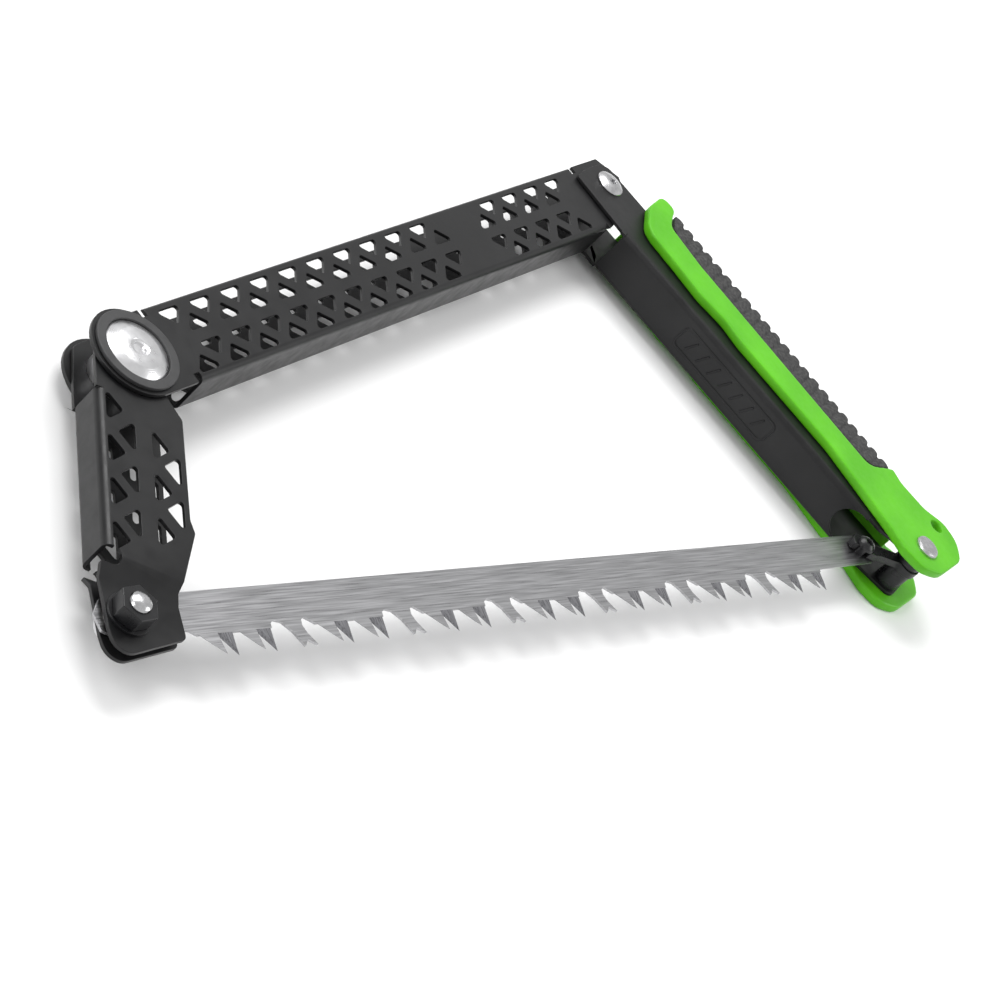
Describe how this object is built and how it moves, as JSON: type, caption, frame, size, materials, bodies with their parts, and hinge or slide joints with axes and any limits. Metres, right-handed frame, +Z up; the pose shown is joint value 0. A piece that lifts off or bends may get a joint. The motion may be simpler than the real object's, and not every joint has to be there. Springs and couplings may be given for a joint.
{
  "type": "folding bow saw",
  "caption": "Folding bow saw: perforated channel arms, a channel handle with ribbed grip, and a toothed pruning blade held by a tension hook.",
  "frame": {"origin": "under the middle of the saw's outline, level with its lowest point", "axes": "the saw lies flat on its back side: +X along the blade towards the handle, +Y from the blade towards the top arm, +Z up out of the front side"},
  "size_m": [0.3944, 0.1811, 0.0264],
  "materials": {
    "arm_paint": "satin",
    "handle_paint": "satin",
    "green_plastic": "satin",
    "grip_rubber": "matte",
    "blade_steel": "brushed",
    "turned_metal": "turned",
    "plated_steel": "zinc plated",
    "black_steel": "black oxide",
    "black_plastic": "matte",
    "washer_plastic": "matte"
  },
  "bodies": {
    "frame": {"top_arm": "arm_paint", "knee_cap": "turned_metal", "knee_barrel": "turned_metal", "knee_screw": "plated_steel", "knee_ring_front": "black_plastic", "knee_ring_back": "black_plastic"},
    "short_arm": {"short_arm": "arm_paint", "knee_washer_front": "washer_plastic", "knee_washer_back": "washer_plastic", "toe_bolt": "plated_steel", "toe_washer": "black_steel", "toe_nut": "black_steel", "toe_spacer_front": "washer_plastic", "toe_spacer_back": "washer_plastic"},
    "handle": {"handle_channel": "handle_paint", "grip_rail_front": "green_plastic", "grip_rail_back": "green_plastic", "palm_pad_front": "grip_rubber", "palm_pad_back": "grip_rubber", "elbow_barrel": "plated_steel", "elbow_screw": "plated_steel", "heel_rivet": "plated_steel", "heel_rivet_cap": "plated_steel", "heel_spacer_front": "black_steel", "heel_spacer_back": "black_steel"},
    "blade": {"blade": "blade_steel", "blade_pin": "black_steel"},
    "hook": {"tension_hook": "black_steel"}
  },
  "joints": [
    {"name": "knee_fold", "type": "hinge", "parent": "frame", "child": "short_arm", "pos_m": [-0.1454, 0.0045, 0.0124], "axis": [0, 0, 1], "range_deg": [-213, 0]},
    {"name": "elbow_fold", "type": "hinge", "parent": "frame", "child": "handle", "pos_m": [0.121, 0.0778, 0.0124], "axis": [0, 0, 1], "range_deg": [0, 84.4]},
    {"name": "blade_swing", "type": "hinge", "parent": "short_arm", "child": "blade", "pos_m": [-0.1887, -0.0732, 0.0124], "axis": [0, 0, 1], "range_deg": [-131.8, 0]},
    {"name": "hook_release", "type": "hinge", "parent": "handle", "child": "hook", "pos_m": [0.17508, -0.08011, 0.0146], "axis": [0, 0, 1], "range_deg": [-40, 0]}
  ],
  "couplings": [
    {"joint": "elbow_fold", "follows": "knee_fold", "ratio": -0.39617},
    {"joint": "blade_swing", "follows": "knee_fold", "ratio": 0.6183}
  ]
}
